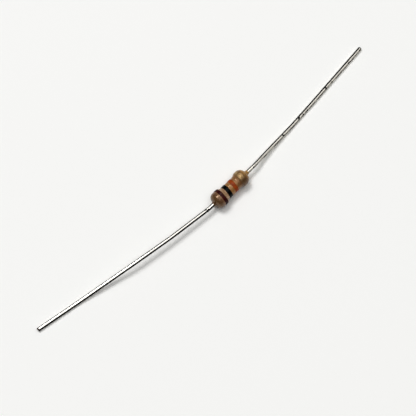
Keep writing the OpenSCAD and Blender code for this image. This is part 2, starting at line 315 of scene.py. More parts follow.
# Where each point is on the unrolled skin, and how near to a nick
normal = add(wire, "GeometryNodeInputNormal").outputs["Normal"]
facing = add(wire, "ShaderNodeSeparateXYZ", {0: normal})
angle = add(wire, "ShaderNodeMath", {0: facing.outputs["Y"], 1: facing.outputs["Z"]}, operation="ARCTAN2")
around = add(wire, "ShaderNodeMath", {0: angle.outputs[0], 1: sizes["Wire radius"]}, operation="MULTIPLY")
turned_round = add(wire, "GeometryNodeStoreNamedAttribute", {
    "Geometry": closed.outputs["Geometry"], "Name": "around", "Value": around.outputs[0],
}, data_type="FLOAT", domain="POINT")
read_along = add(wire, "GeometryNodeInputNamedAttribute", {"Name": "along"}, data_type="FLOAT")
read_around = add(wire, "GeometryNodeInputNamedAttribute", {"Name": "around"}, data_type="FLOAT")
unrolled = add(wire, "ShaderNodeCombineXYZ", {
    "X": read_along.outputs["Attribute"], "Y": read_around.outputs["Attribute"],
})
nick_points = add(wire, "GeometryNodeObjectInfo", {"Object": sizes["Nicks"]})
nearest = add(wire, "GeometryNodeProximity", {
    "Geometry": nick_points.outputs["Geometry"], "Sample Position": unrolled.outputs[0],
}, target_element="POINTS")
nicked = add(wire, "ShaderNodeMapRange", {
    "Value": nearest.outputs["Distance"], "From Max": sizes["Nick reach"], "To Min": 1.0, "To Max": 0.0,
}, interpolation_type="SMOOTHSTEP")
with_nicks = add(wire, "GeometryNodeStoreNamedAttribute", {
    "Geometry": turned_round.outputs["Geometry"], "Name": "nick", "Value": nicked.outputs["Result"],
}, data_type="FLOAT", domain="POINT")
lumps = hollows(wire, sizes["Seed"], sizes["Lump size"], sizes["Lump height"], 2)
dent = add(wire, "ShaderNodeMath", {
    0: nicked.outputs["Result"], 1: sizes["Nick depth"], 2: lumps,
}, operation="MULTIPLY_ADD")
worn = sunk(wire, with_nicks.outputs["Geometry"], dent.outputs[0])
end_form(wire, worn, sizes["Material"])


def lead_corners(node):
    """Corners of a lead's centreline from its cap to its tip, in millimetres."""
    route = LEAD_ROUTES[node]
    side = route["side"]
    corners = [Vector((side * CAP_END, 0, AXIS_HEIGHT))]
    for out, across, rise in route["air"]:
        corners.append(Vector((side * (BODY_HALF + out), across, AXIS_HEIGHT + rise)))
    for out, across in route["surface"]:
        corners.append(Vector((side * (BODY_HALF + out), across, WIRE_RADIUS)))
    return corners


def bent_lead(node, material, shear_slant, sizes):
    """Makes a lead from its route and nicks, and puts it in place of its node."""
    corners = lead_corners(node)
    way = (corners[-1] - corners[-2]).normalized()
    level_side = way.cross(Vector((0, 0, 1)))
    spare = way * WIRE_RADIUS * math.tan(shear_slant)  # for the plane of the shears to cut off
    bends = [0] + [radius * MM for radius in LEAD_ROUTES[node]["bends"]] + [0]
    nick_mesh = bpy.data.meshes.new("nicks")
    nick_mesh.from_pydata([(along * MM, around * MM, 0) for along, around in NICKS[node]], [], [])
    nicks = bpy.data.objects.new("nicks", nick_mesh)
    bpy.context.scene.collection.objects.link(nicks)
    lead = formed(node + "_wire", wire, drawn_line(corners[:-1] + [corners[-1] + spare], bends), {
        "Wire radius": WIRE_RADIUS * MM, "Bead radius": BEAD_RADIUS * MM, "Bead length": BEAD_LENGTH * MM,
        "Tip": corners[-1] * MM, "Wire way": way,
        "Shear way": way * math.cos(shear_slant) - level_side * math.sin(shear_slant),
        "Sides": 40, "Nicks": nicks, "Material": material,
        **sizes,
    })
    bpy.data.objects.remove(nicks)
    put_in_place(lead, node)


def wire_places(tree, place, node):
    """Where a point is on a lead: along it, round it, how far in a nick, and how far beyond the tip."""
    corners = lead_corners(node)
    way = (corners[-1] - corners[-2]).normalized()
    along = add(tree, "ShaderNodeAttribute", attribute_name="along").outputs["Fac"]
    around = add(tree, "ShaderNodeAttribute", attribute_name="around").outputs["Fac"]
    nick = add(tree, "ShaderNodeAttribute", attribute_name="nick").outputs["Fac"]
    nicked = add(tree, "ShaderNodeMapRange", {"Value": nick, "From Min": 0.12, "From Max": 0.4})
    off_tip = add(tree, "ShaderNodeVectorMath", {0: place, 1: corners[-1] * MM}, operation="SUBTRACT")
    ahead = add(tree, "ShaderNodeVectorMath", {0: off_tip.outputs[0], 1: way}, operation="DOT_PRODUCT")
    return along, around, nicked.outputs["Result"], ahead.outputs["Value"]


def stripe(tree, around, rises, falls, strength=1.0):
    """Share of a line along a wire, which rises and falls between two pairs of places round it, in mm."""
    rise = add(tree, "ShaderNodeMapRange", {
        "Value": around, "From Min": rises[0] * MM, "From Max": rises[1] * MM, "To Max": strength,
    }, interpolation_type="SMOOTHSTEP")
    fall = add(tree, "ShaderNodeMapRange", {
        "Value": around, "From Min": falls[0] * MM, "From Max": falls[1] * MM, "To Min": 1.0, "To Max": 0.0,
    }, interpolation_type="SMOOTHSTEP")
    return add(tree, "ShaderNodeMath", {
        0: rise.outputs["Result"], 1: fall.outputs["Result"],
    }, operation="MULTIPLY").outputs[0]


# Bright tin on drawn wire: a warm silver mirror, blurred a little, with faint lines from the drawing die.
# A painted dark reflection lies on both flanks, most on the side of -Y, and painted shade in the nicks at
# the kink. The last bit of the tip is darkened. The sheared end shows dull steel in a copper skin
# Dark of the painted reflection and of the painted shade, which also darkens the tip
PAINTED_DARK = linear("#0C0B0A")
CORE_RADIUS = 0.23 * MM
CORE_BLUR = 0.01 * MM
DIE_LINE = 0.03 * MM
DIE_STRETCH = 60
TIN_CLOUD = 0.9 * MM
bright_tin, tree, shader, place = finish("Bright tinned copper-clad steel", {"Metallic": 1})
along, around, kink, ahead = wire_places(tree, place, "lead_left")
unrolled = add(tree, "ShaderNodeCombineXYZ", {"X": along, "Y": around})
stretched = add(tree, "ShaderNodeMapping", {
    "Vector": unrolled.outputs[0], "Scale": (1 / DIE_STRETCH, 1, 1),
})
die_lines = add(tree, "ShaderNodeTexNoise", {
    "Vector": stretched.outputs["Vector"], "Scale": 1 / DIE_LINE, "Detail": 3,
})
gloss = add(tree, "ShaderNodeMapRange", {"Value": die_lines.outputs["Fac"], "To Min": 0.14, "To Max": 0.26})
clouds = add(tree, "ShaderNodeTexNoise", {"Vector": place, "Scale": 1 / TIN_CLOUD, "Detail": 2})
tin = add(tree, "ShaderNodeMix", {
    SHARE: clouds.outputs["Fac"], FIRST: linear("#CFCCC4"), SECOND: linear("#E2DFD8"),
}, data_type="RGBA")
# Painted dark reflection: a wide line on the side of -Y and a fainter one on the side of +Y
flank = stripe(tree, around, (-0.07, -0.13), (-0.42, -0.49))
edge = stripe(tree, around, (0.14, 0.19), (0.3, 0.37), 0.85)
flanks = add(tree, "ShaderNodeMath", {0: flank, 1: edge}, operation="MAXIMUM")
# Painted shade in the nicks at the kink
darkened = add(tree, "ShaderNodeMath", {0: flanks.outputs[0], 1: kink}, operation="MAXIMUM")
with_painted_dark = add(tree, "ShaderNodeMix", {
    SHARE: darkened.outputs[0], FIRST: tin.outputs[MIXED], SECOND: PAINTED_DARK,
}, data_type="RGBA")
near_tip = lead_corners("lead_left")[-1] * MM
off_centre = add(tree, "ShaderNodeVectorMath", {0: place, 1: near_tip}, operation="DISTANCE")
copper = add(tree, "ShaderNodeMapRange", {
    "Value": off_centre.outputs["Value"],
    "From Min": CORE_RADIUS - CORE_BLUR, "From Max": CORE_RADIUS + CORE_BLUR,
})
cut_face = add(tree, "ShaderNodeMix", {
    SHARE: copper.outputs["Result"], FIRST: linear("#24211F"), SECOND: linear("#4B2F20"),
}, data_type="RGBA")
on_face = add(tree, "ShaderNodeMapRange", {
    "Value": ahead, "From Min": -0.06 * MM, "From Max": -0.05 * MM,
})
at_tip = add(tree, "ShaderNodeMapRange", {
    "Value": ahead, "From Min": -0.24 * MM, "From Max": -0.16 * MM,
})
dark_tip = add(tree, "ShaderNodeMix", {
    SHARE: at_tip.outputs["Result"], FIRST: with_painted_dark.outputs[MIXED], SECOND: PAINTED_DARK,
}, data_type="RGBA")
surface = add(tree, "ShaderNodeMix", {
    SHARE: on_face.outputs["Result"], FIRST: dark_tip.outputs[MIXED], SECOND: cut_face.outputs[MIXED],
}, data_type="RGBA")
bumps = add(tree, "ShaderNodeBump", {
    "Strength": 0.35, "Distance": 0.001 * MM, "Height": die_lines.outputs["Fac"],
})
tree.links.new(surface.outputs[MIXED], shader.inputs["Base Color"])
tree.links.new(gloss.outputs["Result"], shader.inputs["Roughness"])
tree.links.new(bumps.outputs["Normal"], shader.inputs["Normal"])
bent_lead("lead_left", bright_tin, SHEAR_SLANT, {
    "Tip rounding": 0.015 * MM, "Step": 0.1 * MM,
    "Lump height": 0.006 * MM, "Lump size": 1.4 * MM, "Seed": 3.0,
    "Nick reach": 0.16 * MM, "Nick depth": 0.03 * MM,
})

# Old solder on the wire: a cream-grey coat as dull as cast metal. A painted black reflection runs along the
# side of +Y, and a broken brown line, a painted reflection in the brown of flux, along the other. The nicks
# are black with painted shade, the tip is black, and all that is dark is matt
BLACKENED = linear("#080706")
OXIDE_PATCH = 1.1 * MM
SOLDER_GRAIN = 0.12 * MM
old_solder, tree, shader, place = finish("Old solder on tinned wire", {})
along, around, nicked, ahead = wire_places(tree, place, "lead_right")
patches = add(tree, "ShaderNodeTexNoise", {
    "Vector": place, "Scale": 1 / OXIDE_PATCH, "Detail": 4, "Roughness": 0.6,
})
grains = add(tree, "ShaderNodeTexNoise", {"Vector": place, "Scale": 1 / SOLDER_GRAIN, "Detail": 3})
solder = add(tree, "ShaderNodeMix", {
    SHARE: patches.outputs["Fac"], FIRST: linear("#D6D1C3"), SECOND: linear("#FAF6EC"),
}, data_type="RGBA")
# Painted black reflection along the side of +Y; its place round the wire shifts a little over the first 12
# mm
turned = add(tree, "ShaderNodeMapRange", {
    "Value": along, "From Max": 12 * MM, "To Min": -0.06 * MM, "To Max": 0.01 * MM,
})
sideways = add(tree, "ShaderNodeMath", {0: around, 1: turned.outputs["Result"]}, operation="ADD")
painted_edge_reflection = stripe(tree, sideways.outputs[0], (-0.03, 0.01), (0.32, 0.39))
# Painted reflection along the side of -Y, in the brown of flux and broken by patches
flux_and_reflection_side = stripe(tree, around, (-0.18, -0.24), (-0.4, -0.47))
broken = add(tree, "ShaderNodeMapRange", {
    "Value": patches.outputs["Fac"], "From Min": 0.4, "From Max": 0.56, "To Min": 0.35,
}, interpolation_type="SMOOTHSTEP")
flux_and_reflection = add(tree, "ShaderNodeMath", {
    0: flux_and_reflection_side, 1: broken.outputs["Result"],
}, operation="MULTIPLY")
with_edge_reflection = add(tree, "ShaderNodeMix", {
    SHARE: painted_edge_reflection, FIRST: solder.outputs[MIXED], SECOND: BLACKENED,
}, data_type="RGBA")
with_flux_and_reflection = add(tree, "ShaderNodeMix", {
    SHARE: flux_and_reflection.outputs[0], FIRST: with_edge_reflection.outputs[MIXED], SECOND: linear("#32261A"),
}, data_type="RGBA")
at_tip = add(tree, "ShaderNodeMapRange", {
    "Value": ahead, "From Min": -0.25 * MM, "From Max": -0.18 * MM,
})
# Painted shade in the nicks, and the tip painted black
nick_shade_and_dark_tip = add(tree, "ShaderNodeMath", {0: nicked, 1: at_tip.outputs["Result"]}, operation="MAXIMUM")
with_nick_shade_and_dark_tip = add(tree, "ShaderNodeMix", {
    SHARE: nick_shade_and_dark_tip.outputs[0], FIRST: with_flux_and_reflection.outputs[MIXED], SECOND: BLACKENED,
}, data_type="RGBA")
flat_black = add(tree, "ShaderNodeMath", {0: painted_edge_reflection, 1: nick_shade_and_dark_tip.outputs[0]}, operation="MAXIMUM")
matt = add(tree, "ShaderNodeMath", {0: flat_black.outputs[0], 1: flux_and_reflection.outputs[0]}, operation="MAXIMUM")
metal = add(tree, "ShaderNodeMapRange", {"Value": matt.outputs[0], "To Min": 0.7, "To Max": 0.0})
dullness = add(tree, "ShaderNodeMath", {0: matt.outputs[0], 1: 0.5}, operation="MULTIPLY")
gloss = add(tree, "ShaderNodeMapRange", {"Value": grains.outputs["Fac"], "To Min": 0.35, "To Max": 0.55})
roughness = add(tree, "ShaderNodeMath", {
    0: gloss.outputs["Result"], 1: dullness.outputs[0],
}, operation="ADD")
bumps = add(tree, "ShaderNodeBump", {
    "Strength": 0.5, "Distance": 0.006 * MM, "Height": grains.outputs["Fac"],
})
tree.links.new(with_nick_shade_and_dark_tip.outputs[MIXED], shader.inputs["Base Color"])
tree.links.new(metal.outputs["Result"], shader.inputs["Metallic"])
tree.links.new(roughness.outputs[0], shader.inputs["Roughness"])
tree.links.new(bumps.outputs["Normal"], shader.inputs["Normal"])
bent_lead("lead_right", old_solder, 0.0, {
    "Tip rounding": 0.2 * MM, "Step": 0.05 * MM,
    "Lump height": 0.03 * MM, "Lump size": 0.5 * MM, "Seed": 8.0,
    "Nick reach": 0.21 * MM, "Nick depth": 0.05 * MM,
})

# Lacquer coat
# A tan epoxy lacquer, dipped on in a few thin coats and baked, which seals the film and the caps. It is
# thick over the caps and thin between them, shrinks round their edges, and creeps a little way along each
# lead. Sizes given for each side have -1 for the brown end and 1 for the gold end.
FILM_RADIUS = 0.83
BARREL_RADIUS = 0.96
BULGE_RADIUS = {-1: 1.22, 1: 1.15}
FALL_START = {-1: -1.58, 1: 1.88}
FALL_LENGTH = {-1: 0.58, 1: 0.72}
DOME_LENGTH = 0.9
DOME_POWER = 2.2
CREEP_LENGTH = {-1: 0.14, 1: 0.34}
CREEP_RADIUS = 0.42
CREEP_EDGE = 0.305
CAP_LENGTH = 1.15
CAP_RADIUS = 0.99
CAP_MOUTH = 0.05
CAP_EDGE = 0.14
TURN_STEPS = 28
BARREL_STEPS = 40
EDGE_STEPS = 8


def dome_radius(share, bulge):
    """Radius of a rounded end at a share of its length, from the tip to the bulge."""
    return bulge * (1 - (1 - share) ** DOME_POWER) ** (1 / DOME_POWER)


def eased(steps):
    """Shares from 0 to 1 that start and end slowly."""
    return [(1 - math.cos(math.pi * i / steps)) / 2 for i in range(steps + 1)]


def outside_of(side):
    """The lacquer's outline on one side, from the wire to the barrel: place along the body, and radius."""
    bulge = BULGE_RADIUS[side]
    first = 1 - (1 - (CREEP_RADIUS / bulge) ** DOME_POWER) ** (1 / DOME_POWER)
    foot = side * (BODY_HALF - DOME_LENGTH * first)
    outline = []
    # The creep along the wire, which hollows up to the foot of the dome
    for i in range(EDGE_STEPS):
        share = i / EDGE_STEPS
        out = side * CREEP_LENGTH[side] * (1 - share)
        outline.append((foot + out, CREEP_EDGE + (CREEP_RADIUS - CREEP_EDGE) * share ** 2))
    for ease in eased(TURN_STEPS):
        share = first + (1 - first) * ease
        outline.append((side * (BODY_HALF - DOME_LENGTH * share), dome_radius(share, bulge)))
    # The level top of the bulge, and its fall to the barrel
    top = side * (BODY_HALF - DOME_LENGTH)
    for i in range(1, EDGE_STEPS):
        outline.append((top + (FALL_START[side] - top) * i / EDGE_STEPS, bulge))
    for i, ease in enumerate(eased(TURN_STEPS)):
        place = FALL_START[side] - side * FALL_LENGTH[side] * i / TURN_STEPS
        outline.append((place, bulge + (BARREL_RADIUS - bulge) * ease))
    return outline


def inside_of(side):
    """What the lacquer leaves free on one side, from wire to film: the bead, the cap and its mouth."""
    mouth = CAP_END - CAP_LENGTH
    outline = [(CAP_END + BEAD_LENGTH, WIRE_RADIUS), (CAP_END, BEAD_RADIUS)]
    for i in range(EDGE_STEPS, -1, -1):
        turn = math.pi / 2 * i / EDGE_STEPS
        back = CAP_EDGE * (1 - math.sin(turn))
        down = CAP_EDGE * (1 - math.cos(turn))
        outline.append((CAP_END - back, CAP_RADIUS - down))
    outline += [(mouth, CAP_RADIUS), (mouth, FILM_RADIUS + CAP_MOUTH), (mouth + CAP_MOUTH, FILM_RADIUS)]
    return [(side * place, radius) for place, radius in outline]


# A grid as wide as an outline has points and as long as one turn has sides. For each of its points the tree
# finds the corner of the outline, that corner's weight, and the angle it is turned by
ring_grid, sizes = new_form("Outline grid", {"Sides": "Int"}, {
    "Mesh": "Geometry", "Corner": "Vector", "Weight": "Float", "Angle": "Float",
})
outline = sizes["Geometry"]
domain = add(ring_grid, "GeometryNodeAttributeDomainSize", {"Geometry": outline}, component="CURVE")
rows = add(ring_grid, "ShaderNodeMath", {0: sizes["Sides"], 1: 1}, operation="ADD")
grid = add(ring_grid, "GeometryNodeMeshGrid", {
    "Vertices X": domain.outputs["Point Count"], "Vertices Y": rows.outputs[0],
})
number = add(ring_grid, "GeometryNodeInputIndex").outputs["Index"]
column_share = add(ring_grid, "ShaderNodeMath", {0: number, 1: rows.outputs[0]}, operation="DIVIDE")
column = add(ring_grid, "ShaderNodeMath", {0: column_share.outputs[0]}, operation="FLOOR")
row = add(ring_grid, "ShaderNodeMath", {0: number, 1: rows.outputs[0]}, operation="MODULO")
corner_place = add(ring_grid, "GeometryNodeInputPosition").outputs["Position"]
corner = add(ring_grid, "GeometryNodeSampleIndex", {
    "Geometry": outline, "Value": corner_place, "Index": column.outputs[0],
}, data_type="FLOAT_VECTOR", domain="POINT")
corner_weight = add(ring_grid, "GeometryNodeInputRadius").outputs["Radius"]
weight = add(ring_grid, "GeometryNodeSampleIndex", {
    "Geometry": outline, "Value": corner_weight, "Index": column.outputs[0],
}, data_type="FLOAT", domain="POINT")
turn_share = add(ring_grid, "ShaderNodeMath", {0: row.outputs[0], 1: sizes["Sides"]}, operation="DIVIDE")
angle = add(ring_grid, "ShaderNodeMath", {0: turn_share.outputs[0], 1: -2 * math.pi}, operation="MULTIPLY")
add(ring_grid, "NodeGroupOutput", {
    "Mesh": grid.outputs["Mesh"], "Corner": corner.outputs["Value"], "Weight": weight.outputs["Value"],
    "Angle": angle.outputs[0],
})

# The coat's tree turns the outline round the body's axis. Then it sinks broad sags and fine orange peel
# into the surface, wherever the outline's weight allows it
turning, sizes = new_form("Turned and dipped form", {
    "Axis height": "Float", "Sides": "Int", "Sag": "Float", "Sag size": "Float", "Peel": "Float",
    "Peel size": "Float", "Seed": "Float", "Material": "Material",
}, {"Geometry": "Geometry"})
spun = add(turning, "GeometryNodeGroup", {
    "Geometry": sizes["Geometry"], "Sides": sizes["Sides"],
}, node_tree=ring_grid)
turned = add(turning, "ShaderNodeVectorRotate", {
    "Vector": spun.outputs["Corner"], "Angle": spun.outputs["Angle"],
}, rotation_type="X_AXIS")
weighted = add(turning, "GeometryNodeStoreNamedAttribute", {
    "Geometry": spun.outputs["Mesh"], "Name": "free", "Value": spun.outputs["Weight"],
}, data_type="FLOAT", domain="POINT")
shaped = add(turning, "GeometryNodeSetPosition", {
    "Geometry": weighted.outputs["Geometry"], "Position": turned.outputs["Vector"],
})
closed = add(turning, "GeometryNodeMergeByDistance", {
    "Geometry": shaped.outputs["Geometry"], "Distance": 0.0005 * MM,
})
free = add(turning, "GeometryNodeInputNamedAttribute", {"Name": "free"}, data_type="FLOAT")
sag = hollows(turning, sizes["Seed"], sizes["Sag size"], sizes["Sag"], 0)
peel = hollows(turning, sizes["Seed"], sizes["Peel size"], sizes["Peel"], 1)
depth = add(turning, "ShaderNodeMath", {0: sag, 1: peel}, operation="ADD")
allowed = add(turning, "ShaderNodeMath", {
    0: depth.outputs[0], 1: free.outputs["Attribute"],
}, operation="MULTIPLY")
uneven = sunk(turning, closed.outputs["Geometry"], allowed.outputs[0])
lift = add(turning, "ShaderNodeCombineXYZ", {"Z": sizes["Axis height"]})
lifted = add(turning, "GeometryNodeSetPosition", {"Geometry": uneven, "Offset": lift.outputs[0]})
end_form(turning, lifted.outputs["Geometry"], sizes["Material"])

# Baked epoxy lacquer: a soft gloss, warmed by the pigment, with orange peel that breaks up the highlights.
# The tan follows the thickness, dark brown on the thick end and light on the barrel. It is clouded, and
# painted shade darkens it on the side of -Y beside the gold band. Specks of pigment are drawn coarser than
# real, to show
LACQUER_TONES = [
    (-2.75, "#62472A"), (-2.3, "#6A4E38"), (-2.0, "#8A6649"), (-1.6, "#AC8A68"), (-0.7, "#AC8C6C"),
    (-0.25, "#A47644"), (0.4, "#A17748"), (1.2, "#966C43"), (1.7, "#86623E"), (2.5, "#9A7445"),
    (2.8, "#B28A52"),
]
TONE_CLOUD = 0.7 * MM
# Centre of the painted shade on the side of -Y beside the gold band
PAINTED_SHADE_PLACE = (2.05 * MM, -0.95 * MM, 1.6 * MM)
PIGMENT = 0.2 * MM
PEEL_SIZE = 0.24 * MM


def with_painted_shade(tree, place, tone, strength):
    """A tone of the lacquer, or of ink on it, darkened by painted shade round one place on the side of -Y.
    """
    from_shade_place = add(tree, "ShaderNodeVectorMath", {0: place, 1: PAINTED_SHADE_PLACE}, operation="DISTANCE")
    share = add(tree, "ShaderNodeMapRange", {
        "Value": from_shade_place.outputs["Value"], "From Min": 0.5 * MM, "From Max": 1.4 * MM,
        "To Min": strength, "To Max": 0.0,
    }, interpolation_type="SMOOTHSTEP")
    return add(tree, "ShaderNodeMix", {
        SHARE: share.outputs["Result"], FIRST: tone, SECOND: linear("#4E301A"),
    }, data_type="RGBA").outputs[MIXED]


lacquer, tree, shader, place = finish("Baked tan epoxy lacquer", {
    "IOR": 1.5, "Specular IOR Level": 0.65, "Specular Tint": linear("#FFD8B4"),
})
along_body = add(tree, "ShaderNodeSeparateXYZ", {0: place}).outputs["X"]
reached = add(tree, "ShaderNodeMapRange", {
    "Value": along_body, "From Min": -BODY_HALF * MM, "From Max": BODY_HALF * MM,
})
tones = add(tree, "ShaderNodeValToRGB", {"Fac": reached.outputs["Result"]})
stops = tones.color_ramp.elements
stops_at_first = len(stops)
for number, (along, tone) in enumerate(LACQUER_TONES):
    share = (along + BODY_HALF) / (2 * BODY_HALF)
    stop = stops[number] if number < stops_at_first else stops.new(share)
    stop.position = share
    stop.color = linear(tone)
clouds = add(tree, "ShaderNodeTexNoise", {"Vector": place, "Scale": 1 / TONE_CLOUD, "Detail": 3})
cloud_tones = add(tree, "ShaderNodeMix", {
    SHARE: clouds.outputs["Fac"], FIRST: linear("#C9BBB0"), SECOND: linear("#FFFFFF"),
}, data_type="RGBA")
clouded = add(tree, "ShaderNodeMix", {
    SHARE: 1.0, FIRST: tones.outputs["Color"], SECOND: cloud_tones.outputs[MIXED],
}, data_type="RGBA", blend_type="MULTIPLY")
pigment = add(tree, "ShaderNodeTexNoise", {
    "Vector": place, "Scale": 1 / PIGMENT, "Detail": 3, "Roughness": 0.7,
})
speck = add(tree, "ShaderNodeMapRange", {
    "Value": pigment.outputs["Fac"], "From Min": 0.53, "From Max": 0.63, "To Max": 0.6,
})
speckled = add(tree, "ShaderNodeMix", {
    SHARE: speck.outputs["Result"], FIRST: clouded.outputs[MIXED], SECOND: linear("#4A3020"),
}, data_type="RGBA")
# The tan with the painted shade
tan = with_painted_shade(tree, place, speckled.outputs[MIXED], 0.7)
gloss = add(tree, "ShaderNodeMapRange", {"Value": clouds.outputs["Fac"], "To Min": 0.08, "To Max": 0.2})
peel = add(tree, "ShaderNodeTexNoise", {"Vector": place, "Scale": 1 / PEEL_SIZE, "Detail": 1})
bumps = add(tree, "ShaderNodeBump", {"Strength": 0.8, "Distance": 0.03 * MM, "Height": peel.outputs["Fac"]})
tree.links.new(tan, shader.inputs["Base Color"])
tree.links.new(gloss.outputs["Result"], shader.inputs["Roughness"])
tree.links.new(bumps.outputs["Normal"], shader.inputs["Normal"])

# The closed section goes along the outside and back along the inside. Only the outside is free to be uneven
left = outside_of(-1)
right = outside_of(1)
barrel_length = right[-1][0] - left[-1][0]
barrel = [(left[-1][0] + barrel_length * i / BARREL_STEPS, BARREL_RADIUS) for i in range(1, BARREL_STEPS)]
skin = left + barrel + right[::-1]
cavity = [(right[0][0], WIRE_RADIUS)] + inside_of(1) + inside_of(-1)[::-1] + [(left[0][0], WIRE_RADIUS)]
freedom = [min(1, max(0, (radius - CREEP_EDGE) / (CREEP_RADIUS - CREEP_EDGE))) for place, radius in skin]
section = [(place, radius, 0) for place, radius in skin + cavity + skin[:1]]
coat = formed("lacquer_coat_dipped", turning, drawn_line(section, freedom + [0] * (len(cavity) + 1)), {
    "Axis height": AXIS_HEIGHT * MM, "Sides": 224, "Sag": 0.02 * MM, "Sag size": 1.3 * MM,
    "Peel": 0.006 * MM, "Peel size": 0.22 * MM, "Seed": 5.0, "Material": lacquer,
})
put_in_place(coat, "lacquer_coat")

# Colour bands
# Rings of ink rolled on by a printing wheel and baked: brown, black and orange give the value, gold the
# tolerance. Each is a fortieth of a millimetre thick, has edges that wander, and lies a little askew on the
# lacquer.
INK = 0.025
INK_UNDER = 0.15  # share of the ink that is sunk in the lacquer
INK_EDGE = 0.2  # share that stands over it at the very edge
EDGE_RISE = 7.2  # how steeply it rises from there, in shares for each width of the band
SECTION_STEPS = 30
RAY_START = 3 * MM
ALONG_DRIFT = 1.5 / MM  # how fast the wander of the edges changes along the body
# Where each band starts and how wide it is, as shares of the body's length
BANDS = {
    "band_first_brown": dict(start=0.184, width=0.08),
    "band_second_black": dict(start=0.354, width=0.096),
    "band_multiplier_orange": dict(start=0.538, width=0.09),
    "band_tolerance_gold": dict(start=0.748, width=0.138),
}

# The ring's tree wraps a section of ink round the body, sets it askew, lets its edges wander, and drops it
# on the lacquer by rays cast towards the axis
printing, sizes = new_form("Printed ring", {
    "Lacquer": "Object", "Axis height": "Float", "Sides": "Int", "Start": "Float", "Width": "Float",
    "Ink": "Float", "Skew": "Float", "Wander": "Float", "Wander size": "Float", "Seed": "Float",
    "Material": "Material",
}, {"Geometry": "Geometry"})
# The drawn section gives shares of the band's width and of the ink's thickness as if they were millimetres
spun = add(printing, "GeometryNodeGroup", {
    "Geometry": sizes["Geometry"], "Sides": sizes["Sides"],
}, node_tree=ring_grid)
across = add(printing, "ShaderNodeSeparateXYZ", {0: spun.outputs["Corner"]})
outward = add(printing, "ShaderNodeVectorRotate", {
    "Vector": (0, 1, 0), "Angle": spun.outputs["Angle"],
}, rotation_type="X_AXIS")
skew_wave = add(printing, "ShaderNodeMath", {0: spun.outputs["Angle"]}, operation="COSINE")
skewed = add(printing, "ShaderNodeMath", {
    0: skew_wave.outputs[0], 1: sizes["Skew"], 2: sizes["Start"],
}, operation="MULTIPLY_ADD")
wander_scale = add(printing, "ShaderNodeMath", {0: 1, 1: sizes["Wander size"]}, operation="DIVIDE")
wander_place = add(printing, "ShaderNodeVectorMath", {
    0: outward.outputs["Vector"], "Scale": wander_scale.outputs[0],
}, operation="SCALE")
wander_seed = add(printing, "ShaderNodeMath", {
    0: across.outputs["X"], 1: ALONG_DRIFT, 2: sizes["Seed"],
}, operation="MULTIPLY_ADD")
wander = add(printing, "ShaderNodeTexNoise", {
    "Vector": wander_place.outputs[0], "W": wander_seed.outputs[0], "Scale": 1.0, "Detail": 3,
}, noise_dimensions="4D")
wander_share = add(printing, "ShaderNodeMath", {0: wander.outputs["Fac"], 1: 0.5}, operation="SUBTRACT")
band_start = add(printing, "ShaderNodeMath", {
    0: wander_share.outputs[0], 1: sizes["Wander"], 2: skewed.outputs[0],
}, operation="MULTIPLY_ADD")
in_width = add(printing, "ShaderNodeMath", {0: across.outputs["X"], 1: 1 / MM}, operation="MULTIPLY")
reached = add(printing, "ShaderNodeMath", {
    0: in_width.outputs[0], 1: sizes["Width"], 2: band_start.outputs[0],
}, operation="MULTIPLY_ADD")
on_axis = add(printing, "ShaderNodeCombineXYZ", {"X": reached.outputs[0], "Z": sizes["Axis height"]})
far_out = add(printing, "ShaderNodeVectorMath", {
    0: outward.outputs["Vector"], 1: (RAY_START, RAY_START, RAY_START), 2: on_axis.outputs[0],
}, operation="MULTIPLY_ADD")
downward = add(printing, "ShaderNodeVectorMath", {
    0: outward.outputs["Vector"], "Scale": -1.0,
}, operation="SCALE")
lacquer_skin = add(printing, "GeometryNodeObjectInfo", {"Object": sizes["Lacquer"]})
landing = add(printing, "GeometryNodeRaycast", {
    "Target Geometry": lacquer_skin.outputs["Geometry"], "Source Position": far_out.outputs[0],
    "Ray Direction": downward.outputs[0], "Ray Length": RAY_START,
})
in_ink = add(printing, "ShaderNodeMath", {0: across.outputs["Y"], 1: 1 / MM}, operation="MULTIPLY")
height = add(printing, "ShaderNodeMath", {0: in_ink.outputs[0], 1: sizes["Ink"]}, operation="MULTIPLY")
raised = add(printing, "ShaderNodeVectorMath", {
    0: landing.outputs["Hit Normal"], "Scale": height.outputs[0],
}, operation="SCALE")
laid = add(printing, "ShaderNodeVectorMath", {
    0: landing.outputs["Hit Position"], 1: raised.outputs[0],
}, operation="ADD")
shaped = add(printing, "GeometryNodeSetPosition", {
    "Geometry": spun.outputs["Mesh"], "Position": laid.outputs[0],
})
closed = add(printing, "GeometryNodeMergeByDistance", {
    "Geometry": shaped.outputs["Geometry"], "Distance": 0.0002 * MM,
})
end_form(printing, closed.outputs["Geometry"], sizes["Material"])


def ink_section():
    """Section of the ink across a band, over the top and back, as shares of its width and thickness."""
    top = []
    under = []
    for i in range(SECTION_STEPS + 1):
        from_edge = min(i, SECTION_STEPS - i) / SECTION_STEPS
        top.append((i / SECTION_STEPS, min(1, INK_EDGE + EDGE_RISE * from_edge), 0))
        under.append((1 - i / SECTION_STEPS, -INK_UNDER, 0))
    return top + under + top[:1]


def printed_band(node, material, sizes):
    """Prints one band on the lacquer and puts it in place of its node."""
    ring_section = ink_section()
    band = BANDS[node]
    ring = formed(node + "_ink", printing, drawn_line(ring_section, [1] * len(ring_section)), {
        "Lacquer": coat, "Axis height": AXIS_HEIGHT * MM, "Sides": 256,
        "Start": (2 * band["start"] - 1) * BODY_HALF * MM, "Width": band["width"] * 2 * BODY_HALF * MM,
        "Ink": INK * MM, "Material": material,
        **sizes,
    })
    put_in_place(ring, node)


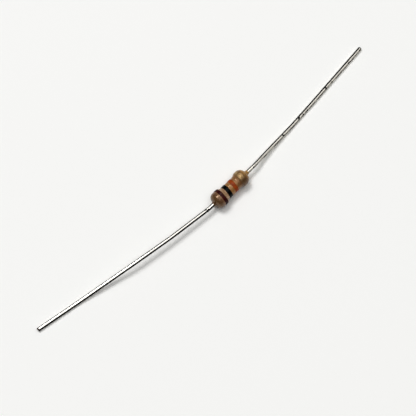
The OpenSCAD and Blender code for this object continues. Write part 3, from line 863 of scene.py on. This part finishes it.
def printed_ink(name, dark, light, tone_size):
    """Baked ink: nearly without shine, clouded where it is thin, with the orange peel of the lacquer."""
    material, tree, shader, place = finish(name, {"Roughness": 0.2, "IOR": 1.5, "Specular IOR Level": 0.05})
    clouds = add(tree, "ShaderNodeTexNoise", {"Vector": place, "Scale": 1 / tone_size, "Detail": 3})
    spread = add(tree, "ShaderNodeMapRange", {
        "Value": clouds.outputs["Fac"], "From Min": 0.3, "From Max": 0.7,
    })
    tone = add(tree, "ShaderNodeMix", {
        SHARE: spread.outputs["Result"], FIRST: linear(dark), SECOND: linear(light),
    }, data_type="RGBA")
    peel = add(tree, "ShaderNodeTexNoise", {"Vector": place, "Scale": 1 / PEEL_SIZE, "Detail": 1})
    bumps = add(tree, "ShaderNodeBump", {
        "Strength": 0.7, "Distance": 0.02 * MM, "Height": peel.outputs["Fac"],
    })
    tree.links.new(tone.outputs[MIXED], shader.inputs["Base Color"])
    tree.links.new(bumps.outputs["Normal"], shader.inputs["Normal"])
    return material


brown_ink = printed_ink("Baked dark brown ink", "#1C0505", "#3E1513", 0.35 * MM)
printed_band("band_first_brown", brown_ink, {
    "Skew": 0.04 * MM, "Wander": 0.16 * MM, "Wander size": 0.5, "Seed": 2.0,
})
black_ink = printed_ink("Baked black ink", "#020202", "#060607", 0.4 * MM)
printed_band("band_second_black", black_ink, {
    "Skew": 0.05 * MM, "Wander": 0.05 * MM, "Wander size": 0.6, "Seed": 4.0,
})
orange_ink = printed_ink("Baked orange ink", "#7A300F", "#9E461A", 0.5 * MM)
printed_band("band_multiplier_orange", orange_ink, {
    "Skew": 0.06 * MM, "Wander": 0.12 * MM, "Wander size": 0.5, "Seed": 7.0,
})

# Gold ink: brass flakes in a clear binder, drawn coarser than real, so that they show. Where it is thin the
# tan shows through, and at both edges, where it ran together, it is a dark brown
FLAKE = 0.13 * MM
gold_start = (2 * BANDS["band_tolerance_gold"]["start"] - 1) * BODY_HALF * MM
gold_width = 2 * BANDS["band_tolerance_gold"]["width"] * BODY_HALF * MM
gold_ink, tree, shader, place = finish("Baked gold flake ink", {"IOR": 1.5, "Specular IOR Level": 0.35})
flakes = add(tree, "ShaderNodeTexVoronoi", {"Vector": place, "Scale": 1 / FLAKE})
clouds = add(tree, "ShaderNodeTexNoise", {
    "Vector": place, "Scale": 1 / TONE_CLOUD, "Detail": 4, "Roughness": 0.6,
})
grains = add(tree, "ShaderNodeMix", {
    SHARE: flakes.outputs["Color"], FIRST: linear("#8E7044"), SECOND: linear("#B99C66"),
}, data_type="RGBA")
thin = add(tree, "ShaderNodeMapRange", {"Value": clouds.outputs["Fac"], "From Min": 0.4, "From Max": 0.6})
streaked = add(tree, "ShaderNodeMix", {
    SHARE: thin.outputs["Result"], FIRST: grains.outputs[MIXED], SECOND: linear("#7E5E38"),
}, data_type="RGBA")
# Painted shade on the side of -Y, as on the lacquer
gold_with_painted_shade = with_painted_shade(tree, place, streaked.outputs[MIXED], 0.8)
along_body = add(tree, "ShaderNodeSeparateXYZ", {0: place}).outputs["X"]
from_start = add(tree, "ShaderNodeMath", {0: along_body, 1: gold_start}, operation="SUBTRACT")
from_end = add(tree, "ShaderNodeMath", {0: gold_width, 1: from_start.outputs[0]}, operation="SUBTRACT")
from_edge = add(tree, "ShaderNodeMath", {
    0: from_start.outputs[0], 1: from_end.outputs[0],
}, operation="MINIMUM")
wandering = add(tree, "ShaderNodeMath", {
    0: clouds.outputs["Fac"], 1: 0.25 * MM, 2: from_edge.outputs[0],
}, operation="MULTIPLY_ADD")
rim = add(tree, "ShaderNodeMapRange", {
    "Value": wandering.outputs[0], "From Min": 0.12 * MM, "From Max": 0.3 * MM,
    "To Min": 0.8, "To Max": 0.0,
}, interpolation_type="SMOOTHSTEP")
rimmed = add(tree, "ShaderNodeMix", {
    SHARE: rim.outputs["Result"], FIRST: gold_with_painted_shade, SECOND: linear("#55371F"),
}, data_type="RGBA")
flaky = add(tree, "ShaderNodeMapRange", {"Value": rim.outputs["Result"], "To Min": 0.36, "To Max": 0.0})
gloss = add(tree, "ShaderNodeMapRange", {
    "Value": flakes.outputs["Distance"], "To Min": 0.24, "To Max": 0.4,
})
bumps = add(tree, "ShaderNodeBump", {
    "Strength": 0.8, "Distance": 0.025 * MM, "Height": flakes.outputs["Distance"],
})
tree.links.new(rimmed.outputs[MIXED], shader.inputs["Base Color"])
tree.links.new(flaky.outputs["Result"], shader.inputs["Metallic"])
tree.links.new(gloss.outputs["Result"], shader.inputs["Roughness"])
tree.links.new(bumps.outputs["Normal"], shader.inputs["Normal"])
printed_band("band_tolerance_gold", gold_ink, {
    "Skew": 0.03 * MM, "Wander": 0.1 * MM, "Wander size": 0.6, "Seed": 9.0,
})

# Floor, lights and camera
# A sheet of white card lies under the part. A soft lamp stands to the upper left of the picture and a wide
# one hangs overhead, in a room that is dark low down and on the right. The camera looks down at 70 degrees.
FLOOR_REACH = 2.0
BODY_TURN = math.radians(45.505)
CAMERA_RISE = math.radians(70)
CAMERA_DISTANCE = 0.3
CAMERA_LENS = 190.3
# How far the part's frame lies to the right of the picture's middle and beyond it, in millimetres
PART_RIGHT = 2.998
PART_AWAY = 2.348
LAMP_DISTANCE = 1.3
# Each lamp's way from the part as the picture shows it, its size in metres, and its power in watts
LAMPS = {
    "side lamp": dict(way=(-0.27, 0.31, 0.912), size=0.42, power=8.3),
    "overhead lamp": dict(way=(0.1, -0.04, 0.99), size=1.2, power=6.6),
}
ROOM_LEVEL = 0.38
LOW_SHARE = 0.1
RIGHT_LEVEL = 0.08
DARK_WAY = (0.7, -0.7, 0)


def as_seen(right, away, up):
    """A direction or place given as the picture shows it, turned into the part's frame."""
    c, s = math.cos(BODY_TURN), math.sin(BODY_TURN)
    return Vector((c * right + s * away, c * away - s * right, up))


card = finish("White card", {
    "Base Color": linear("#F7F7F5"), "Roughness": 0.9, "Specular IOR Level": 0.1,
})[0]
floor_mesh = bpy.data.meshes.new("floor")
floor_corners = [(-FLOOR_REACH, -FLOOR_REACH, 0), (FLOOR_REACH, -FLOOR_REACH, 0),
                 (FLOOR_REACH, FLOOR_REACH, 0), (-FLOOR_REACH, FLOOR_REACH, 0)]
floor_mesh.from_pydata(floor_corners, [], [(0, 1, 2, 3)])
floor_mesh.materials.append(card)
floor = bpy.data.objects.new("floor", floor_mesh)
bpy.context.scene.collection.objects.link(floor)

aim = as_seen(-PART_RIGHT, -PART_AWAY, 0) * MM
for name, plan in LAMPS.items():
    lamp_way = as_seen(*plan["way"]).normalized()
    light = bpy.data.lights.new(name, "AREA")
    light.shape = "SQUARE"
    light.size = plan["size"]
    light.energy = plan["power"]
    lamp = bpy.data.objects.new(name, light)
    lamp.location = aim + lamp_way * LAMP_DISTANCE
    lamp.rotation_mode = "QUATERNION"
    lamp.rotation_quaternion = lamp_way.to_track_quat("Z", "Y")
    bpy.context.scene.collection.objects.link(lamp)

world = bpy.data.worlds.new("room")
world.use_nodes = True
bpy.context.scene.world = world
tree = world.node_tree
toward = add(tree, "ShaderNodeTexCoord").outputs["Generated"]
rise = add(tree, "ShaderNodeSeparateXYZ", {0: toward}).outputs["Z"]
ceiling = add(tree, "ShaderNodeMapRange", {
    "Value": rise, "From Min": 0.35, "From Max": 0.8, "To Min": LOW_SHARE, "To Max": 1.0,
}, interpolation_type="SMOOTHSTEP")
to_right = add(tree, "ShaderNodeVectorMath", {0: toward, 1: as_seen(*DARK_WAY)}, operation="DOT_PRODUCT")
lit_side = add(tree, "ShaderNodeMapRange", {
    "Value": to_right.outputs["Value"], "From Min": 0.4, "From Max": 0.7,
    "To Min": ROOM_LEVEL, "To Max": RIGHT_LEVEL,
}, interpolation_type="SMOOTHSTEP")
level = add(tree, "ShaderNodeMath", {
    0: ceiling.outputs["Result"], 1: lit_side.outputs["Result"],
}, operation="MULTIPLY")
background = tree.nodes["Background"]
background.inputs["Color"].default_value = (1, 1, 1, 1)
tree.links.new(level.outputs[0], background.inputs["Strength"])

camera = bpy.data.objects.new("camera", bpy.data.cameras.new("camera"))
back = as_seen(0, -math.cos(CAMERA_RISE), math.sin(CAMERA_RISE))
camera.data.lens = CAMERA_LENS
camera.data.clip_start = 0.01
camera.data.clip_end = 20
camera.location = aim + back * CAMERA_DISTANCE
camera.rotation_mode = "QUATERNION"
camera.rotation_quaternion = back.to_track_quat("Z", "Y")
bpy.context.scene.collection.objects.link(camera)
bpy.context.scene.camera = camera
bpy.context.scene.view_settings.view_transform = "Standard"
